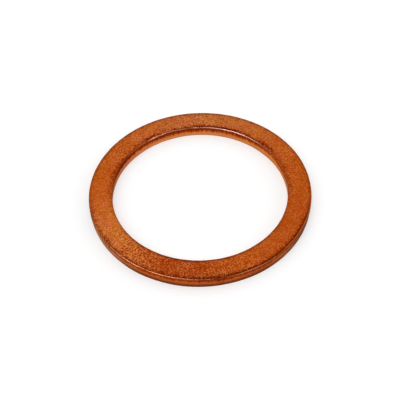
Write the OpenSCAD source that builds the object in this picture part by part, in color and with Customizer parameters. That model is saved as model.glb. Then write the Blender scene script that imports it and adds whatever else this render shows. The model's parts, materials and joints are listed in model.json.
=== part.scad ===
// Flat sealing ring for a drain plug, blanked from soft copper sheet and then tumbled.
// The ring lies on its burr side at z = 0, and +Z runs along the bore.
// Each cut edge has the zones that blanking leaves, from the top down: a roll where the sheet was
// drawn in, a rounded corner, a slight lean, a smooth land, and a break that runs back to the foot.

/* [Fit on the plug] */
// Thread diameter of the drain plug
thread_d = 20; // [8:0.5:60]
// Clearance of the bore over the thread, across the diameter
thread_gap = 0.3; // [0.1:0.05:0.8]

/* [Ring] */
// Radial width between the bore and the rim
ring_w = 2.75; // [1.8:0.05:8]
// Thickness between the two sealing faces
ring_t = 1.5; // [1:0.05:3]

/* [Edge at the rim] */
// Radial width of the roll, from the wall to the flat of the top face
rim_roll_w = 0.72; // [0.4:0.01:0.85]
// How far the roll drops the corner
rim_roll_drop = 0.1; // [0.02:0.01:0.15]
// Height from the top face down to the land
rim_land_down = 0.39; // [0.35:0.01:0.55]
// How far the wall leans in above the land
rim_lean = 0.02; // [0.01:0.01:0.06]
// Height of the land
rim_land_h = 0.36; // [0.1:0.01:0.5]

/* [Edge at the bore] */
// Radial width of the roll, from the wall to the flat of the top face
bore_roll_w = 0.73; // [0.4:0.01:0.85]
// How far the roll drops the corner
bore_roll_drop = 0.1; // [0.02:0.01:0.15]
// Height from the top face down to the land
bore_land_down = 0.46; // [0.35:0.01:0.55]
// How far the mouth opens above the land
bore_lean = 0.03; // [0.01:0.01:0.06]
// Height of the land, where the bore is measured
bore_land_h = 0.34; // [0.1:0.01:0.45]

/* [Both edges] */
// Radius that tumbling left on the top corners
corner_r = 0.15; // [0.05:0.01:0.18]
// How far the break runs back from the wall
break_back = 0.06; // [0.02:0.01:0.12]
// Radius that tumbling left between the break and the bottom face
foot_r = 0.1; // [0.03:0.01:0.15]

/* [Hidden] */
bore_r = (thread_d + thread_gap) / 2;
rim_r = bore_r + ring_w;

COPPER = [0.72, 0.37, 0.17];
ARC_STEPS = 120;
TURN_STEPS = 240;

// Radius of an arc that leaves a line at a tangent, and is off it by drop after a length of run
function arc_radius(run, drop) = (run * run + drop * drop) / (2 * drop);

// The point at r from centre, on the way from centre through target
function point_towards(centre, target, r) = centre + (target - centre) * r / norm(target - centre);

// What a disc adds beyond its chord between two points of its rim
module cap(centre, r, from, to) {
    intersection() {
        translate(centre) circle(r, $fn = ARC_STEPS);
        polygon([from, 2 * from - centre, 2 * to - centre, to]);
    }
}

// Half of the ring's section: x is the depth behind the wall, y the height above the bottom face.
// The corner's disc touches the arcs of the roll and the lean from inside, with no kink between them.
module edge_section(roll_w, roll_drop, land_down, lean, land_h) {
    corner_c = [lean + corner_r, ring_t - roll_drop - corner_r];
    roll_start = [roll_w, ring_t];
    land_top = [0, ring_t - land_down];
    land_foot = [0, land_top.y - land_h];

    roll_r = arc_radius(roll_w - corner_c.x, roll_drop) + corner_r;
    roll_c = [roll_w, ring_t - roll_r];
    roll_end = point_towards(roll_c, corner_c, roll_r);

    lean_r = arc_radius(corner_c.y - land_top.y, lean) + corner_r;
    lean_c = [lean_r, land_top.y];
    lean_top = point_towards(lean_c, corner_c, lean_r);

    foot_c = [break_back + foot_r, foot_r];
    break_foot = [break_back, foot_r];
    foot_end = [foot_c.x, 0];

    polygon([
        [ring_w / 2, 0], [ring_w / 2, ring_t], roll_start, roll_end, lean_top,
        land_top, land_foot, break_foot, foot_end
    ]);
    cap(roll_c, roll_r, roll_start, roll_end);
    cap(corner_c, corner_r, roll_end, lean_top);
    cap(lean_c, lean_r, lean_top, land_top);
    cap(foot_c, foot_r, break_foot, foot_end);
}

// The whole section, with the edge at the bore and the edge at the rim back to back
module ring_section() {
    translate([bore_r, 0])
        edge_section(bore_roll_w, bore_roll_drop, bore_land_down, bore_lean, bore_land_h);
    translate([rim_r, 0])
        mirror([1, 0])
            edge_section(rim_roll_w, rim_roll_drop, rim_land_down, rim_lean, rim_land_h);
}

module sealing_ring() {
    color(COPPER)
        rotate_extrude($fn = TURN_STEPS)
            ring_section();
}

sealing_ring();
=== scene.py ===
# A flat copper sealing ring on a pale floor. Section sizes and textures are in millimetres, as a
# designer gives them, and become metres when the mesh is made.
import json
import math

import bpy
import numpy as np
from mathutils import Matrix, Vector, noise


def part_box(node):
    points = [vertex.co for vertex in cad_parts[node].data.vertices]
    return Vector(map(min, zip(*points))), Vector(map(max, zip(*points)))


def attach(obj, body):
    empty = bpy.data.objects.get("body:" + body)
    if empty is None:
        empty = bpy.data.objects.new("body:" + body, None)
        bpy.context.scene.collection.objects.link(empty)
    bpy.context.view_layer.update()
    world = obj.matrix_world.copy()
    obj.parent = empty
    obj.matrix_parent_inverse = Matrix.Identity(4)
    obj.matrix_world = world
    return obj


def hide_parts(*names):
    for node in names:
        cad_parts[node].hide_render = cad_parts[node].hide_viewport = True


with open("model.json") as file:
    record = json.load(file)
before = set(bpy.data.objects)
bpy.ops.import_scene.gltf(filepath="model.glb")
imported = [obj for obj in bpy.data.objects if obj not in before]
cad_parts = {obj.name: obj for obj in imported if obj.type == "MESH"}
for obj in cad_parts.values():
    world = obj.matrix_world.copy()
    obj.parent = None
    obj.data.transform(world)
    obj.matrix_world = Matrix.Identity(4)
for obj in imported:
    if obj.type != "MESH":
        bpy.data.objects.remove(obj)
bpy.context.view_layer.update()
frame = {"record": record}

MM = 0.001
NODE = "sealing_ring"

# Camera
EYE_DISTANCE = 107.2 * MM
EYE_ELEVATION = math.radians(48.98)
EYE_ROLL = math.radians(-1.98)
AIM = Vector((-0.03, -1.04, 0.75)) * MM
CLIP_START = 5 * MM
SENSOR_W = 36.0
LENS = 82.5

# The section, as blanking and tumbling leave it
LOW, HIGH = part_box(NODE)
RING_T = HIGH.z / MM
RIM_R = min(HIGH.x, HIGH.y, -LOW.x, -LOW.y) / MM
BORE_R = next(m["dims"]["r_mm"] for m in frame["record"]["mounts"] if m["name"] == "bore")
RIM_EDGE = {"roll_w": 0.72, "roll_drop": 0.10, "land_down": 0.39, "lean": 0.02, "land_h": 0.36}
BORE_EDGE = {"roll_w": 0.73, "roll_drop": 0.10, "land_down": 0.46, "lean": 0.03, "land_h": 0.34}
CORNER_R = 0.15
BREAK_BACK = 0.06
FOOT_R = 0.10

# How the sizes wander round the ring, because tools wear unevenly: by how much, as a share of the size
# or in mm where the name says so, in how few and how many waves, and how fast short waves get smaller.
# Each has its own seed, counted in this order from the seed of the edge.
WANDERS = {
    "roll_w": (0.08, 1, 9, 0.5),
    "roll_w_ripple": (0.04, 10, 70, 0.5),
    "roll_drop": (0.14, 1, 8, 0.5),
    "corner_r": (0.12, 2, 60, 0.3),
    "land_top_mm": (0.02, 1, 14, 0.5),
    "land_foot_mm": (0.05, 2, 30, 0.5),
    "land_teeth_mm": (0.035, 40, 260, 0.2),
    "break_back": (0.25, 2, 20, 0.5),
}
RIM_SEED, BORE_SEED = 100, 200
# The least and the most height of one wave before the line is scaled, and the standard deviations that
# its full height is scaled to
WAVE_SIZES = (0.4, 1.0)
WANDER_PEAK = 2.2
# How much calmer a corner gets for each share that it is worn
WORN_CALM = 2

# How finely the mesh is cut: steps round the ring, and along each stretch of the section
TURN_STEPS = 999
STEPS = {"roll": 8, "corner": 7, "lean": 4, "land": 5, "break": 9, "foot": 5}
FLAT_STEPS = 12
BOTTOM_STEPS = 10
# Rows that the UV map cuts the ring into, and the share of a row that is left free along its edges
UV_ROWS = 3
UV_MARGIN = 0.01

# Where the finish, and the light and shade painted into it, differ round the ring: azimuth and half width
# in degrees, and strength. A worn corner's strength is a share of its radius. "set_back" and "dark_corner"
# are in mm: how much farther back the painted dark line of shade lies, and how much wider the painted shade
# under the corner is.
FACE_SPOTS = {
    # Painted sheen on the front left of the face
    "pale": [(-146, 20, 1.0)],
    # Painted sheen on the back of the face
    "dusty": [(84, 40, 0.9)],
    # Painted shade on the face at the front and at the right
    "deep": [(-103, 24, 1.0), (-25, 34, 0.4)],
    "grainy": [
        (-130, 22, 1.0), (-160, 24, 0.25), (-82, 30, 0.6), (90, 24, 0.9), (50, 40, 0.35), (132, 30, 0.45)
    ],
}
BORE_SPOTS = {
    "worn": [(74, 14, 0.1)],
    "battered": [(115, 22, 1.0), (34, 13, 0.75), (150, 20, 0.5), (4, 12, 0.4)],
    # Rubbed bare corners of the bore, with a painted highlight on them
    "rubbed": [(66, 20, 1.0), (92, 2, 0.8), (106, 9, 0.3), (114, 3, 0.7), (122, 3.5, 1.0), (-70, 60, 0.3)],
    # Painted shade: a dark line behind the bore's top corner, its strength round the ring
    "tarnish": [
        (54, 20, 0.9), (71, 16, 1.45), (33, 15, 0.6), (10, 18, 0.28), (88, 10, 1.1), (106, 14, 0.35),
        (127, 8, 0.8), (152, 20, 0.75), (-90, 60, 0.3)
    ],
    "set_back": [(37, 6, 0.14), (62, 12, 0.04), (124, 6, 0.05)],
    "dark_corner": [(158, 14, 0.06)],
    "stained": [
        (158, 24, 0.5), (18, 18, 0.35), (-1, 5, 0.45), (40, 7, 1.0), (72, 22, 0.45), (97, 7, 0.3),
        (127, 12, 0.75)
    ],
    # Painted shade: dark red at the top of the bore's wall and on its corner
    "ruddy": [(156, 16, 1.0)],
    # Painted reflection: a pale stretch of the bore's wall seen at a grazing angle
    "sallow": [(152, 18, 0.9)],
    # Dull stretches, with painted shade: a darker mirror image where the wall is seen at a grazing angle
    "dull": [(176, 10, 0.45)],
    "risen": [(34, 13, 1.7), (147, 8, 0.4)],
    "sunk": [(105, 26, 0.5)],
}
RIM_SPOTS = {
    "worn": [(-128, 10, 0.1), (-67, 8, 0.1)],
    "battered": [(-148, 8, 0.25), (-32, 16, 0.5), (-84, 9, 0.8)],
    # Rubbed bare corners of the rim, with a painted highlight on them
    "rubbed": [
        (-130, 10, 1.0), (-125, 4, 1.3), (-114, 2.5, 1.2), (-106, 15, 0.75), (-66, 8, 0.65), (-26, 14, 0.4),
        (90, 90, 0.3)
    ],
    # Painted shade: a dark line behind the rim's top corner, its strength round the ring
    "tarnish": [
        (-57, 18, 1.0), (-28, 18, 0.9), (-92, 14, 0.5), (-127, 8, 0.7), (-147, 5, 0.4), (90, 60, 0.3)
    ],
    "set_back": [(-127, 12, 0.08), (-60, 12, 0.02), (-32, 16, 0.12)],
    "stained": [
        (-85, 12, 0.7), (-72, 24, 0.45), (-116, 10, 0.35), (-42, 12, 0.5), (-28, 8, 0.35), (-146, 9, 0.55),
        (-162, 10, 0.35)
    ],
    # Painted shade: dark red at the top of the rim's wall
    "ruddy": [(-85, 9, 0.6), (-137, 8, 0.35)],
    # Painted reflection: pale stretches of the rim's wall seen at a grazing angle
    "sallow": [(-151, 16, 1.0), (-42, 9, 0.2)],
    # Dull stretches of the rim, with painted shade where the wall is seen at a grazing angle
    "dull": [(-27, 17, 0.8), (-56, 12, 0.28), (-148, 6, 0.3), (-169, 12, 1.0)],
}

# How far behind a wall each belt of finish or of painted shade and highlight lies, and how far it fades to
# each side
# Painted shade: the dark line behind each top corner, and the dark under the bore's corner
BORE_DARK_LINE_BELT = (0.205, 0.125)
RIM_DARK_LINE_BELT = (0.14, 0.09)
UNDER_CORNER_BELT = (0.005, 0.042)
BORE_STAIN_BELT = (0.38, 0.22)
RIM_STAIN_BELT = (0.27, 0.27)
# The rubbed corners, where a highlight is painted as well
RUBBED_HIGHLIGHT_BELT = (0.078, 0.029)
BLOW_BELT = (0.3, 0.3)
# Where near the bore the painted sheen at the back fades
SHEEN_FREE_BELT = (0.15, 0.3)

# The share of the painted sheen at the back that its belt lacks, and how strongly the painted shade of
# ruddy and dull stretches of the wall shows on the corner above
SHEEN_LOST = 0.6
RUDDY_SHADE_CORNER = 0.6
DULL_SHADE_CORNER = 0.4

# A scratch across the face, from and to, how far to each side of it the metal is pushed down, how deep,
# and how strongly it is stained
SCRATCH = ((10.3, 2.18), (12.5, 1.84))
SCRATCH_SIDE = 0.07
SCRATCH_DEPTH = 0.008
SCRATCH_STAIN = 0.45

# Small dents all over: how many, and the least and the most of their sizes
DENT_SEED = 7
DENTS = 90
DENT_HALF_WIDTH = (0.10, 0.30)
DENT_DEPTH = (0.004, 0.016)

# Blows along the edges: size of the lumps, layers and offset of the noise, and depth. The metal is down
# by BLOW_LEVEL of the depth where the noise is 0, and by BLOW_MOST of it at most.
BLOW_LENGTH = 0.8
BLOW_WIDTH = 0.2
BLOW_LAYERS = 3
BLOW_OFFSET = 21.0
BLOW_DEPTH = 0.02
BLOW_LEVEL = 0.3
BLOW_MOST = 1.5
# From which noise to which the metal is stained in a blow, or rubbed bare beside it, and how strongly
BLOW_STAIN = (0.03, 0.35, 0.7)
BLOW_RUB = (0.15, 0.4, 0.12)

# The roughness of the section: zones, depth and size of the lumps, and layers and offset of the noise. The
# metal is down by ROUGH_LEVEL of the depth where the noise is 0, and by ROUGH_MOST of it at most.
ROUGH_ZONES = [
    (["break"], 0.014, 0.22, 4, 3.0),
    (["roll", "corner", "lean"], 0.006, 0.35, 3, 8.0),
    (["face"], 0.003, 0.9, 3, 13.0),
]
ROUGH_LEVEL = 0.5
ROUGH_MOST = 2

# Layered noise: how fast the finer layers fade, how much finer each is, and which way an offset moves it
NOISE_FADE = 0.8
NOISE_FINER = 2.1
NOISE_WAY = (1.0, 2.3, -1.7)

TURN = np.arange(TURN_STEPS) * 2 * math.pi / TURN_STEPS


def wander(seed, most, low, high, fall):
    """A smooth closed line round the ring between about -most and most, with low to high waves."""
    random = np.random.default_rng(seed)
    waves = np.arange(low, high + 1)
    size = random.uniform(*WAVE_SIZES, len(waves)) / waves**fall
    start = random.uniform(0, 2 * math.pi, len(waves))
    line = (size[:, None] * np.cos(waves[:, None] * TURN + start[:, None])).sum(0)
    return most * (line / (WANDER_PEAK * line.std()))


def around(spots):
    """A line round the ring that is 0 but for a smooth rise at each spot."""
    line = np.zeros(TURN_STEPS)
    for azimuth, half_width, strength in spots:
        gap = (np.degrees(TURN) - azimuth + 180) % 360 - 180
        line = np.maximum(line, strength * np.exp(-((gap / half_width) ** 2)))
    return line[:, None]


def belt(radii, wall_r, behind, half_width):
    """1 along a line that lies behind a wall, fading to both sides."""
    return np.exp(-(((np.abs(radii - wall_r) - behind) / half_width) ** 2))


def ease(value, low, high, most):
    """0 below low, most above high, and smooth between them."""
    share = ((value - low) / (high - low)).clip(0, 1)
    return most * (share * share * (3 - 2 * share))


def fractal(points, size, layers, offset):
    """Layered noise between about -1 and 1 at each point, with lumps of the given size in mm."""
    shift = Vector([share * offset for share in NOISE_WAY])
    places = (Vector(point) / size + shift for point in points)
    return np.array([noise.fractal(place, NOISE_FADE, NOISE_FINER, layers) for place in places])


def arc_radius(run, drop):
    """Radius of an arc that leaves a line at a tangent, and is off it by drop after run."""
    return (run * run + drop * drop) / (2 * drop)


def along_arc(centre, radius, start, end, steps):
    """Points of an arc for each turn step, without its first point: depths and heights."""
    share = np.linspace(0, 1, steps + 1)[1:]
    angle = start[:, None] + (end - start)[:, None] * share
    depth = centre[0][:, None] + radius[:, None] * np.cos(angle)
    height = centre[1][:, None] + radius[:, None] * np.sin(angle)
    return depth, height


def along_line(start, end, steps):
    """Points of a straight stretch for each turn step, without its first point."""
    share = np.linspace(0, 1, steps + 1)[1:]
    return tuple(a[:, None] + (b - a)[:, None] * share for a, b in zip(start, end))


def edge_line(edge, worn_spots, seed):
    """One blanked edge, from the flat of the top face down to the foot, for each turn step.

    Depth is measured behind the wall.
    """
    drift = {name: wander(seed + step, *waves) for step, (name, waves) in enumerate(WANDERS.items())}
    even = np.ones(TURN_STEPS)
    worn = around(worn_spots)[:, 0]
    roll_w = edge["roll_w"] * (1 + drift["roll_w"] + drift["roll_w_ripple"])
    roll_drop = edge["roll_drop"] * (1 + drift["roll_drop"])
    corner_r = CORNER_R * (1 + worn + (1 - WORN_CALM * worn) * drift["corner_r"])
    lean = edge["lean"] * even
    land_top = RING_T - edge["land_down"] + drift["land_top_mm"]
    land_foot = land_top - edge["land_h"] + drift["land_foot_mm"] + drift["land_teeth_mm"]
    back = BREAK_BACK * (1 + drift["break_back"])
    foot_r = FOOT_R * even
    wall = 0 * even

    corner_c = (lean + corner_r, RING_T - roll_drop - corner_r)
    roll_r = arc_radius(roll_w - corner_c[0], roll_drop) + corner_r
    roll_c = (roll_w, RING_T - roll_r)
    lean_r = arc_radius(corner_c[1] - land_top, lean) + corner_r
    lean_c = (lean_r, land_top)
    foot_c = (back + foot_r, foot_r)
    up, out, down = math.pi / 2 * even, math.pi * even, 1.5 * math.pi * even
    roll_end = np.arctan2(corner_c[1] - roll_c[1], corner_c[0] - roll_c[0])
    lean_top = np.arctan2(corner_c[1] - lean_c[1], corner_c[0] - lean_c[0])

    return {
        "roll": along_arc(roll_c, roll_r, up, roll_end, STEPS["roll"]),
        "corner": along_arc(corner_c, corner_r, roll_end, lean_top, STEPS["corner"]),
        "lean": along_arc(lean_c, lean_r, lean_top, out, STEPS["lean"]),
        "land": along_line((wall, land_top), (wall, land_foot), STEPS["land"]),
        "break": along_line((wall, land_foot), (back, foot_r), STEPS["break"]),
        "foot": along_arc(foot_c, foot_r, out, down, STEPS["foot"]),
        "flat_depth": roll_w,
    }


def ring_section():
    """The closed section for each turn step: radii, heights, and the zone of each column.

    It runs over the top face to the rim, down, back along the bottom, and up the bore.
    """
    rim = edge_line(RIM_EDGE, RIM_SPOTS["worn"], RIM_SEED)
    bore = edge_line(BORE_EDGE, BORE_SPOTS["worn"], BORE_SEED)
    top = RING_T * np.ones(TURN_STEPS)
    flat_in, flat_out = BORE_R + bore["flat_depth"], RIM_R - rim["flat_depth"]
    foot_out, foot_in = RIM_R - rim["foot"][0][:, -1], BORE_R + bore["foot"][0][:, -1]

    stretches = [((flat_in[:, None], top[:, None]), "face")]
    stretches.append((along_line((flat_in, top), (flat_out, top), FLAT_STEPS), "face"))
    stretches += [((RIM_R - rim[zone][0], rim[zone][1]), zone) for zone in STEPS]
    stretches.append((along_line((foot_out, 0 * top), (foot_in, 0 * top), BOTTOM_STEPS), "bottom"))
    climb = [((BORE_R + bore[zone][0][:, ::-1], bore[zone][1][:, ::-1]), zone) for zone in reversed(STEPS)]
    # The bottom has ended on the first column of the bore's foot
    (foot_r, foot_h), zone = climb[0]
    climb[0] = ((foot_r[:, 1:], foot_h[:, 1:]), zone)
    stretches += climb

    radii = np.concatenate([line[0] for line, _ in stretches], axis=1)
    heights = np.concatenate([line[1] for line, _ in stretches], axis=1)
    zones = np.concatenate([[zone] * line[0].shape[1] for line, zone in stretches])
    return radii, heights, zones


def section_normals(radii, heights):
    """Outward unit normals in the plane of the section, from the neighbours of each point."""
    across = np.roll(radii, -1, axis=1) - np.roll(radii, 1, axis=1)
    rise = np.roll(heights, -1, axis=1) - np.roll(heights, 1, axis=1)
    length = np.hypot(across, rise)
    return -rise / length, across / length


def around_points(radii, heights):
    """The points of the section in space, one turn step after the other."""
    x = radii * np.cos(TURN)[:, None]
    y = radii * np.sin(TURN)[:, None]
    return np.stack([x, y, heights], axis=2).reshape(-1, 3)


def blow_lumps(radii):
    """Noise between about -1 and 1 whose lumps are drawn out along the edges."""
    round_x = RIM_R * np.cos(TURN)[:, None] * BLOW_WIDTH / BLOW_LENGTH
    round_y = RIM_R * np.sin(TURN)[:, None] * BLOW_WIDTH / BLOW_LENGTH
    points = np.stack(np.broadcast_arrays(round_x, round_y, radii), axis=2).reshape(-1, 3)
    return fractal(points, BLOW_WIDTH, BLOW_LAYERS, BLOW_OFFSET).reshape(radii.shape)


def edge_blows(radii):
    """Noise round the battered stretches of both edges: knocked in above 0, rubbed bare below."""
    bore = around(BORE_SPOTS["battered"]) * belt(radii, BORE_R, *BLOW_BELT)
    rim = around(RIM_SPOTS["battered"]) * belt(radii, RIM_R, *BLOW_BELT)
    return np.maximum(bore, rim) * blow_lumps(radii)


def scratch_line(radii):
    """1 along the scratch, fading to both sides and stopping at both ends."""
    start, end = np.array(SCRATCH)
    length = np.hypot(*(end - start))
    way = (end - start) / length
    x, y = radii * np.cos(TURN)[:, None] - start[0], radii * np.sin(TURN)[:, None] - start[1]
    along, aside = x * way[0] + y * way[1], x * way[1] - y * way[0]
    return np.exp(-((aside / SCRATCH_SIDE) ** 2)) * ((along > 0) & (along < length))


def dents(points):
    """Depth of the small dents that tumbling left, for each point."""
    random = np.random.default_rng(DENT_SEED)
    depth = np.zeros(len(points))
    for _ in range(DENTS):
        centre = points[random.integers(len(points))]
        half_width = random.uniform(*DENT_HALF_WIDTH)
        deepest = random.uniform(*DENT_DEPTH)
        gap = ((points - centre) ** 2).sum(1)
        depth += deepest * np.exp(-gap / half_width**2)
    return depth


def sink(points, radii, zones, blows):
    """How far each point lies below the clean section. It is never above, so the size stays."""
    columns = np.tile(zones, TURN_STEPS)
    depth = dents(points) + SCRATCH_DEPTH * scratch_line(radii).ravel() * np.isin(columns, ["face", "roll"])
    for members, lump_depth, size, layers, offset in ROUGH_ZONES:
        here = np.isin(columns, members)
        lump = ROUGH_LEVEL + fractal(points[here], size, layers, offset)
        depth[here] += lump_depth * lump.clip(0, ROUGH_MOST)
    return depth + BLOW_DEPTH * (BLOW_LEVEL + blows.ravel()).clip(0, BLOW_MOST)


def painted_dark_lines(radii):
    """The painted dark line of shade behind each top corner. The bore's takes in the painted shade under
    the corner.
    """
    (bore_back, bore_side), (rim_back, rim_side) = BORE_DARK_LINE_BELT, RIM_DARK_LINE_BELT
    bore = belt(radii, BORE_R, bore_back + around(BORE_SPOTS["set_back"]), bore_side)
    rim = belt(radii, RIM_R, rim_back + around(RIM_SPOTS["set_back"]), rim_side)
    under_back, under_side = UNDER_CORNER_BELT
    under = belt(radii, BORE_R, under_back, under_side + around(BORE_SPOTS["dark_corner"]))
    return np.maximum(bore, under), rim


def finish_marks(radii, heights, zones, blows):
    """How strongly each finish, and each light and shade painted into it, shows for each turn step and
    column of the section.
    """
    def on(*members):
        return np.tile(np.isin(zones, members).astype(float), (TURN_STEPS, 1))

    def either(name, bore_belt=1.0, rim_belt=1.0):
        bore = around(BORE_SPOTS[name]) * at_bore * bore_belt
        rim = around(RIM_SPOTS[name]) * (1 - at_bore) * rim_belt
        return bore + rim

    at_bore = (radii < (BORE_R + RIM_R) / 2).astype(float)
    upper, corner = on("face", "roll", "corner"), on("corner")
    wall = on("lean", "land", "break", "foot")
    sheen_share = 1 - SHEEN_LOST * belt(radii, BORE_R, *SHEEN_FREE_BELT)
    rubbed = either("rubbed", belt(radii, BORE_R, *RUBBED_HIGHLIGHT_BELT), belt(radii, RIM_R, *RUBBED_HIGHLIGHT_BELT)) * corner
    stained = either("stained", belt(radii, BORE_R, *BORE_STAIN_BELT), belt(radii, RIM_R, *RIM_STAIN_BELT))
    stained = np.maximum(stained, ease(blows, *BLOW_STAIN))
    return {
        "at_bore": at_bore,
        "wall": wall,
        "down": wall * (RING_T - heights) / RING_T,
        "broken": on("break", "foot"),
        # Painted sheen on the front left of the face
        "pale": around(FACE_SPOTS["pale"]) * upper,
        # Painted sheen on the back of the face, less near the bore
        "dusty": around(FACE_SPOTS["dusty"]) * upper * sheen_share,
        # Painted shade on the face at the front and at the right
        "deep": around(FACE_SPOTS["deep"]) * upper,
        "grainy": around(FACE_SPOTS["grainy"]) * upper,
        "stained": np.maximum(stained, SCRATCH_STAIN * scratch_line(radii)) * upper,
        # Painted shade: the dark line behind each top corner
        "tarnish": either("tarnish", *painted_dark_lines(radii)) * upper,
        # Rubbed bare corners with a painted highlight
        "rubbed": np.maximum(rubbed, ease(-blows, *BLOW_RUB) * upper),
        # Painted shade: dark red at the top of stretches of wall
        "ruddy": either("ruddy") * (wall + RUDDY_SHADE_CORNER * corner * at_bore),
        # Painted reflection: pale stretches of wall seen at a grazing angle
        "sallow": either("sallow") * wall,
        # Dull stretches, with painted shade
        "dull": either("dull") * (wall + DULL_SHADE_CORNER * corner),
        "risen": (around(BORE_SPOTS["risen"]) - around(BORE_SPOTS["sunk"])) * at_bore * wall,
    }


def cells(columns):
    """The turn step and the column of each quad of the mesh."""
    return np.repeat(np.arange(TURN_STEPS), columns), np.tile(np.arange(columns), TURN_STEPS)


def unroll(mesh, columns):
    """A UV map that unrolls the ring into rows, so that a texel is about square."""
    i, j = cells(columns)
    per_row = TURN_STEPS // UV_ROWS
    row = i // per_row
    corner_i = np.stack([i, i, i + 1, i + 1], axis=1) - (row * per_row)[:, None]
    corner_j = np.stack([j, j + 1, j + 1, j], axis=1)
    room = 1 - 2 * UV_MARGIN
    u = 1 - UV_MARGIN - room * corner_i / per_row
    v = (row[:, None] + UV_MARGIN + room * corner_j / columns) / UV_ROWS
    layer = mesh.uv_layers.new(name="OFBake")
    layer.data.foreach_set("uv", np.stack([u, v], axis=2).astype(np.float32).ravel())


def make_ring():
    """The ring as one closed mesh, with its UV map and its finish as attributes."""
    radii, heights, zones = ring_section()
    columns = len(zones)
    blows = edge_blows(radii)
    depth = sink(around_points(radii, heights), radii, zones, blows).reshape(radii.shape)
    normal_r, normal_h = section_normals(radii, heights)
    points = around_points(radii - depth * normal_r, heights - depth * normal_h)

    i, j = cells(columns)
    next_i, next_j = (i + 1) % TURN_STEPS * columns, (j + 1) % columns
    quads = np.stack([i * columns + j, i * columns + next_j, next_i + next_j, next_i + j], axis=1)

    mesh = bpy.data.meshes.new("copper_ring")
    mesh.from_pydata((points * MM).tolist(), [], quads.tolist())
    mesh.polygons.foreach_set("use_smooth", [True] * len(mesh.polygons))
    unroll(mesh, columns)
    for name, weight in finish_marks(radii, heights, zones, blows).items():
        attribute = mesh.attributes.new(name, "FLOAT", "POINT")
        attribute.data.foreach_set("value", weight.astype(np.float32).ravel())
    mesh.update()
    ring = bpy.data.objects.new("copper_ring", mesh)
    bpy.context.scene.collection.objects.link(ring)
    return ring


def add(tree, kind, inputs=None, **settings):
    """A node with its settings, and its inputs set to values or joined to sockets."""
    made = tree.nodes.new(kind)
    for name, value in settings.items():
        setattr(made, name, value)
    for key, value in (inputs or {}).items():
        if isinstance(value, bpy.types.NodeSocket):
            tree.links.new(value, made.inputs[key])
        else:
            made.inputs[key].default_value = value
    return made


def empty_tree(owner):
    """The node tree of a material or a world, with nothing in it."""
    owner.use_nodes = True
    owner.node_tree.nodes.clear()
    return owner.node_tree


def maths(tree, operation, *values):
    """The result of an operation on two values or sockets."""
    return add(tree, "ShaderNodeMath", dict(enumerate(values)), operation=operation).outputs[0]


def product(tree, *values):
    """All values multiplied."""
    result = values[0]
    for value in values[1:]:
        result = maths(tree, "MULTIPLY", result, value)
    return result


def total(tree, *values):
    """All values added."""
    result = values[0]
    for value in values[1:]:
        result = maths(tree, "ADD", result, value)
    return result


def ramp(tree, value, low, high, to_low=0.0, to_high=1.0):
    """Value from low to high, eased into the range from to_low to to_high."""
    inputs = {"Value": value, "From Min": low, "From Max": high, "To Min": to_low, "To Max": to_high}
    return add(tree, "ShaderNodeMapRange", inputs, interpolation_type="SMOOTHSTEP").outputs["Result"]


def window(tree, value, low, high, soft):
    """1 where value lies between low and high, with soft sides."""
    rise = ramp(tree, value, low - soft, low + soft)
    fall = ramp(tree, value, high - soft, high + soft, 1.0, 0.0)
    return product(tree, rise, fall)


def stretched(tree, coords, x, y, z):
    """Coordinates multiplied by a share for each axis."""
    return add(tree, "ShaderNodeVectorMath", {0: coords, 1: (x, y, z)}, operation="MULTIPLY").outputs[0]


def lumps(tree, coords, size, detail, roughness, low, high):
    """Noise with lumps of the given size in mm, 0 where it is below low and 1 where it is above high."""
    inputs = {"Vector": coords, "Scale": 1 / size, "Detail": detail, "Roughness": roughness}
    return ramp(tree, add(tree, "ShaderNodeTexNoise", inputs).outputs[0], low, high)


def mark(tree, name):
    """How strongly a finish shows, as the mesh's attribute of that name says."""
    return add(tree, "ShaderNodeAttribute", attribute_name=name).outputs["Fac"]


# The sockets of a Mix node that a mix of colours uses
MIX_FACTOR, MIX_FIRST, MIX_SECOND, MIX_RESULT = 0, 6, 7, 2


def blend(tree, factor, first, second, kind="MIX"):
    """The first colour where the factor is 0, the second or what the kind makes of both where it is 1."""
    inputs = {MIX_FACTOR: factor, MIX_FIRST: first, MIX_SECOND: second}
    return add(tree, "ShaderNodeMix", inputs, data_type="RGBA", blend_type=kind).outputs[MIX_RESULT]


def colour_ramp(tree, value, stops):
    """Colour of the stops, each a place from 0 to 1 and a colour, blended in between."""
    node = add(tree, "ShaderNodeValToRGB", {"Fac": value})
    elements = node.color_ramp.elements
    elements.remove(elements[1])
    for place, colour in stops:
        elements.new(place).color = colour
    elements.remove(elements[0])
    return node.outputs["Color"]


def linear(red, green, blue):
    """A colour given in screen values from 0 to 255, in the linear values that nodes take."""
    shares = [c / 255 for c in (red, green, blue)]
    return tuple(c / 12.92 if c <= 0.04 else ((c + 0.055) / 1.055) ** 2.4 for c in shares) + (1,)


# The film on the faces, its flecks, what lies on it or shows through it, and the light and shade painted on
# it
FILM = linear(182, 80, 12)
# Paler film, in random patches and as a painted sheen on the front left of the face
PALE_SHEEN = linear(202, 112, 46)
# Painted sheen on the back of the face, pale and greyish
BACK_SHEEN_COLOUR = linear(184, 104, 50)
# Painted shade on the face, darker and more saturated
FACE_SHADE_COLOUR = linear(160, 58, 4)
DARK_FLECK = linear(120, 26, 0)
# Light flecks of grain, which also stand as painted glints
LIGHT_FLECK_AND_GLINT = linear(240, 148, 86)
STAIN = linear(118, 22, 0)
# Painted shade: a dark red line behind each top corner
DARK_LINE_SHADE = linear(100, 0, 0)
# Bare copper at the corners, brightened into a painted highlight, paler on the bore
BARE_RIM_HIGHLIGHT = linear(232, 156, 112)
BARE_BORE_HIGHLIGHT = linear(250, 204, 184)
# Where the film is redder and where it is more yellow, as shares of its colour
REDDER = (1.03, 0.94, 1.3, 1.0)
YELLOWER = (0.985, 1.045, 0.72, 1.0)

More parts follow.
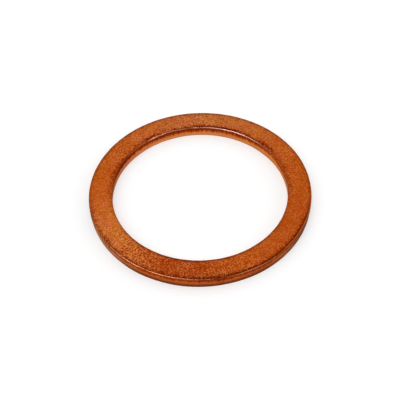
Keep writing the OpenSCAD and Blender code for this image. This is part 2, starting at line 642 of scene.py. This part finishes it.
# Colours down each wall, from the corner at 0 to the floor at 1: burnished land above the break, with
# painted shade under the corner and towards the rim's foot, and painted light on the bore's break
RIM_WALL = [
    # Painted shade under the corner
    (0.14, linear(124, 38, 8)),
    (0.27, linear(154, 64, 22)),
    (0.42, linear(188, 92, 46)),
    (0.52, linear(186, 92, 46)),
    (0.62, linear(158, 76, 40)),
    # Painted shade towards the rim's foot
    (0.74, linear(130, 62, 32)),
    (0.95, linear(110, 52, 27)),
]
BORE_WALL = [
    # Painted shade under the corner
    (0.16, linear(108, 28, 2)),
    (0.32, linear(138, 47, 8)),
    (0.44, linear(174, 77, 23)),
    # The bore's break, paler and brighter with painted light
    (0.56, linear(212, 120, 56)),
    (0.68, linear(218, 138, 78)),
    (0.88, linear(206, 138, 92)),
]
# Painted reflection: pale, greyish colours where the walls are seen at a grazing angle
PALE_REFLECTION_RIM = linear(200, 156, 132)
PALE_REFLECTION_BORE = linear(180, 106, 98)
# Painted shade: dark red at the top of stretches of wall
RUDDY_SHADE = linear(88, 3, 0)
# Painted shade: a darker greyish brown on dull stretches of the walls
DULL_SHADE = linear(96, 50, 36)
# What the metal turns its mirror image to where it is seen at a grazing angle
GRAZING_TINT = (0.85, 0.59, 0.43, 1.0)

# Noises in the metal: size of the lumps in mm, detail and roughness of the noise, and the values of it
# that become 0 and 1. Streaks run down the wall, because a height counts as STREAK_SQUASH of itself.
PATCHES = {"size": 3.0, "detail": 2, "roughness": 0.55, "low": 0.3, "high": 0.7}
HUES = {"size": 0.9, "detail": 2, "roughness": 0.7, "low": 0.36, "high": 0.64}
MOTTLE = {"size": 1.3, "detail": 3, "roughness": 0.75, "low": 0.34, "high": 0.66}
GRAIN = {"size": 0.153, "detail": 1, "roughness": 0.7, "low": 0.32, "high": 0.68}
STREAKS = {"size": 0.2, "detail": 3, "roughness": 0.55, "low": 0.3, "high": 0.7}
CRUMBS = {"size": 0.17, "detail": 3, "roughness": 0.7, "low": 0.38, "high": 0.62}
STREAK_SQUASH = 0.12

# The film's tone, dark at 0 and light at 1, from the mottle and the grain
TONE_OF_MOTTLE = 0.28
TONE_OF_GRAIN = 0.8
TONE_SHIFT = -0.04
# How strongly flecks show everywhere, how much more in grainy spots, and how pale the patches are
FLECKS_EVERYWHERE = 0.4
FLECKS_IN_SPOTS = 0.6
PALE_IN_PATCHES = 0.15

# From one value to another, and how strongly a finish shows at each: the flecks by the film's tone, what
# lies on the film or is painted on it as shade and highlight by its grain, and the wall's stretches of
# painted shade and reflection by the way down
DARK_BY_TONE = (0.55, 0.0, 0.0, 0.84)
LIGHT_BY_TONE = (0.45, 1.0, 0.0, 0.64)
STAIN_BY_GRAIN = (0.0, 1.0, 1.6, 0.3)
DARK_LINE_SHADE_BY_GRAIN = (0.0, 0.5, 1.0, 0.8)
BARE_HIGHLIGHT_BY_GRAIN = (0.0, 0.5, 0.6, 1.0)
RUDDY_SHADE_BY_DOWN = (0.52, 0.24, 0.0, 0.95)
PALE_REFLECTION_BY_DOWN = (0.1, 0.35, 0.0, 0.65)

# Shares of the wall's height: how far its texture and a risen stretch shift its colours, and how much
# lower the painted pale reflection starts on the bore than on the rim
SHIFT_BY_TEXTURE = 0.2
SHIFT_BY_RISE = 0.09
BORE_PALE_REFLECTION_LOWER = 0.23

# Roughness, what the mottle, the break and dull stretches add to it, and what burnishing takes away
ROUGHNESS = 0.27
ROUGH_MOTTLE = 0.08
ROUGH_BREAK = 0.16
ROUGH_DULL = 0.26
BURNISH = 0.12

# Height of the bump on the surface, and the shares of the mottle and the grain in it
BUMP_HEIGHT = 0.008 * MM
BUMP_OF_MOTTLE = 0.4
BUMP_OF_GRAIN = 0.6


def film_colour(tree, coords, mottle, grain):
    """The faces: flecked film with painted sheen, shade and glints, stains and a painted dark line of shade
    over it, and corners rubbed bare with a painted highlight.
    """
    patches, hues = lumps(tree, coords, **PATCHES), lumps(tree, coords, **HUES)
    # Paler film in random patches, and painted sheen on the front left
    pale = total(tree, mark(tree, "pale"), product(tree, patches, PALE_IN_PATCHES))
    colour = blend(tree, pale, FILM, PALE_SHEEN)
    # Painted sheen on the back of the face
    colour = blend(tree, mark(tree, "dusty"), colour, BACK_SHEEN_COLOUR)
    # Painted shade on the face
    colour = blend(tree, mark(tree, "deep"), colour, FACE_SHADE_COLOUR)
    colour = blend(tree, 1.0, colour, blend(tree, hues, REDDER, YELLOWER), "MULTIPLY")

    tone = total(tree, product(tree, mottle, TONE_OF_MOTTLE), product(tree, grain, TONE_OF_GRAIN))
    tone = total(tree, tone, TONE_SHIFT)
    flecks = total(tree, product(tree, mark(tree, "grainy"), FLECKS_IN_SPOTS), FLECKS_EVERYWHERE)
    colour = blend(tree, product(tree, ramp(tree, tone, *DARK_BY_TONE), flecks), colour, DARK_FLECK)
    # Light flecks of grain, which also stand as painted glints
    colour = blend(tree, product(tree, ramp(tree, tone, *LIGHT_BY_TONE), flecks), colour, LIGHT_FLECK_AND_GLINT)

    # Bare copper brightened into a painted highlight
    bare_highlight = blend(tree, mark(tree, "at_bore"), BARE_RIM_HIGHLIGHT, BARE_BORE_HIGHLIGHT)
    # Stains are the metal's own; the dark line is painted shade, and the bare corners carry a painted
    # highlight
    finishes = [
        ("stained", STAIN_BY_GRAIN, STAIN),
        ("tarnish", DARK_LINE_SHADE_BY_GRAIN, DARK_LINE_SHADE),
        ("rubbed", BARE_HIGHLIGHT_BY_GRAIN, bare_highlight),
    ]
    for name, by_grain, finish in finishes:
        strength = product(tree, mark(tree, name), ramp(tree, grain, *by_grain))
        colour = blend(tree, strength, colour, finish)
    return colour


def way_down(tree, texture):
    """The place on the wall whose colour a point takes, 0 at the top face and 1 at the floor."""
    shift = product(tree, maths(tree, "SUBTRACT", texture, 0.5), SHIFT_BY_TEXTURE)
    return total(tree, mark(tree, "down"), shift, product(tree, mark(tree, "risen"), SHIFT_BY_RISE))


def wall_colour(tree, down):
    """The walls: dark at the top, where the land is burnished and shade is painted, and bright on the break
    below, with stretches of painted pale reflection.
    """
    at_bore = mark(tree, "at_bore")
    colour = blend(tree, at_bore, colour_ramp(tree, down, RIM_WALL), colour_ramp(tree, down, BORE_WALL))
    below = total(tree, down, product(tree, at_bore, -BORE_PALE_REFLECTION_LOWER))
    # Painted reflection: pale stretches of wall seen at a grazing angle
    sallow = product(tree, mark(tree, "sallow"), ramp(tree, below, *PALE_REFLECTION_BY_DOWN))
    return blend(tree, sallow, colour, blend(tree, at_bore, PALE_REFLECTION_RIM, PALE_REFLECTION_BORE))


def surface_roughness(tree, mottle):
    """Roughness, higher on the break and in dull stretches, and lower where the metal is burnished."""
    broken, dull = mark(tree, "broken"), mark(tree, "dull")
    added = total(tree, product(tree, mottle, ROUGH_MOTTLE), product(tree, broken, ROUGH_BREAK))
    rough = total(tree, added, product(tree, dull, ROUGH_DULL), ROUGHNESS)
    burnished = maths(tree, "MAXIMUM", mark(tree, "stained"), mark(tree, "tarnish"))
    burnished = maths(tree, "MAXIMUM", burnished, mark(tree, "rubbed"))
    return maths(tree, "SUBTRACT", rough, product(tree, burnished, BURNISH))


def copper():
    """Annealed, tumbled copper: mottled film with painted sheen, shade and glints, bare corners with a
    painted highlight, painted dark lines, streaked land, grainy break, painted shade and reflection on the
    walls.
    """
    material = bpy.data.materials.new("copper")
    tree = empty_tree(material)
    place = add(tree, "ShaderNodeTexCoord").outputs["Object"]
    coords = stretched(tree, place, 1 / MM, 1 / MM, 1 / MM)
    mottle, grain = lumps(tree, coords, **MOTTLE), lumps(tree, coords, **GRAIN)
    streaks = lumps(tree, stretched(tree, coords, 1, 1, STREAK_SQUASH), **STREAKS)
    texture = blend(tree, mark(tree, "broken"), streaks, lumps(tree, coords, **CRUMBS))

    wall, down = mark(tree, "wall"), way_down(tree, texture)
    colour = blend(tree, wall, film_colour(tree, coords, mottle, grain), wall_colour(tree, down))
    # Painted shade: dark red at the top of stretches of wall
    ruddy = product(tree, mark(tree, "ruddy"), ramp(tree, down, *RUDDY_SHADE_BY_DOWN))
    colour = blend(tree, ruddy, colour, RUDDY_SHADE)
    # Painted shade on dull stretches of the walls
    colour = blend(tree, mark(tree, "dull"), colour, DULL_SHADE)

    relief = total(tree, product(tree, mottle, BUMP_OF_MOTTLE), product(tree, grain, BUMP_OF_GRAIN))
    relief = total(tree, relief, product(tree, wall, texture))
    bump = add(tree, "ShaderNodeBump", {"Height": relief, "Strength": 1.0, "Distance": BUMP_HEIGHT})

    shader = add(tree, "ShaderNodeBsdfPrincipled", {
        "Base Color": colour,
        "Metallic": 1.0,
        "Roughness": surface_roughness(tree, mottle),
        "Specular Tint": GRAZING_TINT,
        "Normal": bump.outputs["Normal"],
    })
    add(tree, "ShaderNodeOutputMaterial", {"Surface": shader.outputs["BSDF"]})
    return material


WHITE = (1, 1, 1, 1)

# Half the floor's side in metres, the share of white that it gives as a background, and what its paint
# returns of the light
FLOOR_HALF = 3.0
FLOOR_LIFT = 0.495
FLOOR_PAINT = 0.58


def floor_paint():
    """Paint that takes shadows, lifted to white where it is the background or mirrored by the metal."""
    material = bpy.data.materials.new("floor_paint")
    tree = empty_tree(material)
    rays = add(tree, "ShaderNodeLightPath").outputs
    seen = total(tree, rays["Is Camera Ray"], rays["Is Glossy Ray"], rays["Is Transmission Ray"])
    lift = add(tree, "ShaderNodeEmission", {"Color": WHITE, "Strength": product(tree, seen, FLOOR_LIFT)})
    paint = add(tree, "ShaderNodeBsdfDiffuse", {"Color": (FLOOR_PAINT, FLOOR_PAINT, FLOOR_PAINT, 1)})
    both = add(tree, "ShaderNodeAddShader", {0: paint.outputs[0], 1: lift.outputs[0]})
    add(tree, "ShaderNodeOutputMaterial", {"Surface": both.outputs[0]})
    return material


def make_floor():
    """A plain square under the ring."""
    signs = [(-1, -1), (1, -1), (1, 1), (-1, 1)]
    mesh = bpy.data.meshes.new("floor")
    mesh.from_pydata([(x * FLOOR_HALF, y * FLOOR_HALF, 0) for x, y in signs], [], [(0, 1, 2, 3)])
    mesh.materials.append(floor_paint())
    floor = bpy.data.objects.new("floor", mesh)
    bpy.context.scene.collection.objects.link(floor)


# The studio dome, whose brightness is 1 where it is white: the whole of it, and a band up to the height
# where the horizon ends. A panel's "over" is the way up and over from the horizon in front of the ring,
# in degrees, and "side" the share to the right, each from, to and softness.
STUDIO_LEVEL = 0.22
HORIZON_HEIGHT = 0.19
HORIZON_SOFT = 0.02
HORIZON_STRENGTH = 0.78
PANELS = [
    {"over": (99, 154, 5), "side": (-0.42, 0.5, 0.1), "strength": 0.84},
    {"over": (99, 154, 5), "side": (-0.8, -0.42, 0.1), "strength": 0.42},
    {"over": (49, 75, 3), "side": (-0.78, -0.08, 0.08), "strength": 3.3},
    {"over": (49, 75, 3), "side": (-0.08, 0.3, 0.08), "strength": 0.8},
    {"over": (40, 68, 3), "side": (0.34, 0.66, 0.06), "strength": 1.6},
    {"over": (15, 165, 8), "side": (0.66, 2.0, 0.06), "strength": 1.0},
    {"over": (15, 165, 8), "side": (-2.0, -0.82, 0.04), "strength": 0.8},
]


def light_studio():
    """A soft dome: a pale band at the horizon, and panels behind, over the camera and at both sides."""
    world = bpy.data.worlds.new("studio")
    bpy.context.scene.world = world
    tree = empty_tree(world)
    way = add(tree, "ShaderNodeTexCoord").outputs["Generated"]
    parts = add(tree, "ShaderNodeSeparateXYZ", {0: way}).outputs
    side, height = parts["X"], parts["Z"]
    front = product(tree, parts["Y"], -1.0)
    over = product(tree, maths(tree, "ARCTAN2", height, front), 180 / math.pi)

    above = ramp(tree, height, HORIZON_HEIGHT - HORIZON_SOFT, HORIZON_HEIGHT + HORIZON_SOFT)
    horizon = maths(tree, "SUBTRACT", 1.0, above)
    strength = total(tree, STUDIO_LEVEL, product(tree, horizon, HORIZON_STRENGTH))
    for panel in PANELS:
        shape = product(tree, window(tree, over, *panel["over"]), window(tree, side, *panel["side"]), above)
        strength = total(tree, strength, product(tree, shape, panel["strength"]))
    back = add(tree, "ShaderNodeBackground", {"Color": WHITE, "Strength": strength})
    add(tree, "ShaderNodeOutputWorld", {"Surface": back.outputs[0]})


def place_camera():
    """The camera, in front of the ring and above it, rolled a little as the photo's is."""
    data = bpy.data.cameras.new("camera")
    data.sensor_width = SENSOR_W
    data.lens = LENS
    data.clip_start = CLIP_START
    camera = bpy.data.objects.new("camera", data)
    eye = Vector((0, -EYE_DISTANCE * math.cos(EYE_ELEVATION), EYE_DISTANCE * math.sin(EYE_ELEVATION)))
    look = (AIM - eye).to_track_quat("-Z", "Y").to_matrix().to_4x4()
    camera.matrix_world = Matrix.Translation(eye) @ look @ Matrix.Rotation(EYE_ROLL, 4, "Z")
    bpy.context.scene.collection.objects.link(camera)
    bpy.context.scene.camera = camera


place_camera()
light_studio()
make_floor()
ring = make_ring()
ring.data.materials.append(copper())
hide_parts(NODE)
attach(ring, "root")
bpy.context.scene.view_settings.view_transform = "Standard"
